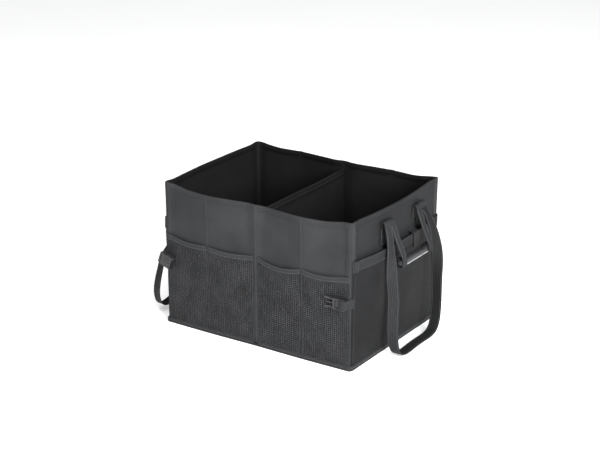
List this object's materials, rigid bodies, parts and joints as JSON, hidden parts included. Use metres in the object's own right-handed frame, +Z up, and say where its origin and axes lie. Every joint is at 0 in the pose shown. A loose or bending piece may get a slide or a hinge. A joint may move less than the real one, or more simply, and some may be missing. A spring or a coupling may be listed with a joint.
{
  "type": "collapsible storage crate",
  "caption": "Collapsible fabric storage crate with stiffened folding walls, a centre divider, mesh and bellows pockets, webbing handles and a closing clip.",
  "frame": {"origin": "middle of the underside of the floor", "axes": "+X across the long front towards the right side, +Y from the front wall to the back wall, +Z up"},
  "size_m": [0.6066, 0.3855, 0.339],
  "materials": {
    "woven_fabric": "charcoal woven polyester, matte",
    "lining": "black coated lining",
    "mesh": "open knitted mesh",
    "binding": "folded binding tape with stitch lines",
    "webbing": "ribbed polyester webbing",
    "plastic": "moulded black plastic",
    "stiffener": "plain stiff board, hidden in the walls"
  },
  "bodies": {
    "centre": {"divider_cover": "lining", "divider_board": "stiffener", "floor_skin_left": "binding", "floor_skin_right": "binding"},
    "floor_left": {"floor_board_left": "lining"},
    "front_inner_left": {"front_inner_left_cover": "woven_fabric", "front_inner_left_board": "stiffener", "front_inner_left_lip": "binding", "front_inner_left_pocket": "mesh"},
    "front_outer_left": {"front_outer_left_cover": "woven_fabric", "front_outer_left_board": "stiffener", "front_outer_left_lip": "binding", "front_outer_left_pocket": "mesh"},
    "back_inner_left": {"back_inner_left_cover": "woven_fabric", "back_inner_left_board": "stiffener", "back_inner_left_lip": "binding"},
    "back_outer_left": {"back_outer_left_cover": "woven_fabric", "back_outer_left_board": "stiffener", "back_outer_left_lip": "binding"},
    "side_left": {"side_left_cover": "woven_fabric", "side_left_board": "stiffener", "side_left_lip": "binding", "side_left_pocket": "woven_fabric", "side_left_pocket_hem": "binding", "side_left_pocket_tab": "binding", "strap_anchor_front_left": "webbing", "strap_anchor_back_left": "webbing", "clip_socket": "plastic", "clip_webbing_left": "webbing"},
    "long_handle_left": {"long_strap_left": "webbing"},
    "short_handle_left": {"short_strap_left": "webbing", "grip_left": "plastic"},
    "floor_right": {"floor_board_right": "lining"},
    "front_inner_right": {"front_inner_right_cover": "woven_fabric", "front_inner_right_board": "stiffener", "front_inner_right_lip": "binding", "front_inner_right_pocket": "mesh"},
    "front_outer_right": {"front_outer_right_cover": "woven_fabric", "front_outer_right_board": "stiffener", "front_outer_right_lip": "binding", "front_outer_right_pocket": "mesh"},
    "back_inner_right": {"back_inner_right_cover": "woven_fabric", "back_inner_right_board": "stiffener", "back_inner_right_lip": "binding"},
    "back_outer_right": {"back_outer_right_cover": "woven_fabric", "back_outer_right_board": "stiffener", "back_outer_right_lip": "binding"},
    "side_right": {"side_right_cover": "woven_fabric", "side_right_board": "stiffener", "side_right_lip": "binding", "side_right_pocket": "woven_fabric", "side_right_pocket_hem": "binding", "side_right_pocket_tab": "binding", "strap_anchor_front_right": "webbing", "strap_anchor_back_right": "webbing", "clip_plug": "plastic", "clip_webbing_right": "webbing"},
    "long_handle_right": {"long_strap_right": "webbing"},
    "short_handle_right": {"short_strap_right": "webbing", "grip_right": "plastic"}
  },
  "joints": [
    {"name": "fold_left", "type": "hinge", "parent": "centre", "child": "front_inner_left", "pos_m": [-0.006, -0.177, 0], "axis": [0, 0, -1], "range_deg": [0, 90]},
    {"name": "front_quarter_left", "type": "hinge", "parent": "front_inner_left", "child": "front_outer_left", "pos_m": [-0.1233, -0.1875, 0], "axis": [0, 0, -1], "range_deg": [-180, 0]},
    {"name": "front_corner_left", "type": "hinge", "parent": "front_outer_left", "child": "side_left", "pos_m": [-0.2406, -0.177, 0], "axis": [0, 0, -1], "range_deg": [0, 90]},
    {"name": "back_centre_left", "type": "hinge", "parent": "centre", "child": "back_inner_left", "pos_m": [-0.006, 0.177, 0], "axis": [0, 0, -1], "range_deg": [-90, 0]},
    {"name": "back_quarter_left", "type": "hinge", "parent": "back_inner_left", "child": "back_outer_left", "pos_m": [-0.1233, 0.1875, 0], "axis": [0, 0, -1], "range_deg": [0, 180]},
    {"name": "floor_lift_left", "type": "hinge", "parent": "centre", "child": "floor_left", "pos_m": [-0.0023, 0, 0.0045], "axis": [0, 1, 0], "range_deg": [0, 90]},
    {"name": "long_swing_left", "type": "hinge", "parent": "side_left", "child": "long_handle_left", "pos_m": [-0.262, 0, 0.3], "axis": [0, 1, 0], "range_deg": [0, 175]},
    {"name": "short_swing_left", "type": "hinge", "parent": "side_left", "child": "short_handle_left", "pos_m": [-0.262, 0, 0.3], "axis": [0, 1, 0], "range_deg": [0, 175]},
    {"name": "fold_right", "type": "hinge", "parent": "centre", "child": "front_inner_right", "pos_m": [0.006, -0.177, 0], "axis": [0, 0, 1], "range_deg": [0, 90]},
    {"name": "front_quarter_right", "type": "hinge", "parent": "front_inner_right", "child": "front_outer_right", "pos_m": [0.1233, -0.1875, 0], "axis": [0, 0, 1], "range_deg": [-180, 0]},
    {"name": "front_corner_right", "type": "hinge", "parent": "front_outer_right", "child": "side_right", "pos_m": [0.2406, -0.177, 0], "axis": [0, 0, 1], "range_deg": [0, 90]},
    {"name": "back_centre_right", "type": "hinge", "parent": "centre", "child": "back_inner_right", "pos_m": [0.006, 0.177, 0], "axis": [0, 0, 1], "range_deg": [-90, 0]},
    {"name": "back_quarter_right", "type": "hinge", "parent": "back_inner_right", "child": "back_outer_right", "pos_m": [0.1233, 0.1875, 0], "axis": [0, 0, 1], "range_deg": [0, 180]},
    {"name": "floor_lift_right", "type": "hinge", "parent": "centre", "child": "floor_right", "pos_m": [0.0023, 0, 0.0045], "axis": [0, -1, 0], "range_deg": [0, 90]},
    {"name": "long_swing_right", "type": "hinge", "parent": "side_right", "child": "long_handle_right", "pos_m": [0.262, 0, 0.3], "axis": [0, -1, 0], "range_deg": [0, 175]},
    {"name": "short_swing_right", "type": "hinge", "parent": "side_right", "child": "short_handle_right", "pos_m": [0.262, 0, 0.3], "axis": [0, -1, 0], "range_deg": [0, 175]}
  ],
  "couplings": [
    {"joint": "front_quarter_left", "follows": "fold_left", "ratio": -2},
    {"joint": "front_corner_left", "follows": "fold_left", "ratio": 1},
    {"joint": "back_centre_left", "follows": "fold_left", "ratio": -1},
    {"joint": "back_quarter_left", "follows": "fold_left", "ratio": 2},
    {"joint": "front_quarter_right", "follows": "fold_right", "ratio": -2},
    {"joint": "front_corner_right", "follows": "fold_right", "ratio": 1},
    {"joint": "back_centre_right", "follows": "fold_right", "ratio": -1},
    {"joint": "back_quarter_right", "follows": "fold_right", "ratio": 2}
  ]
}
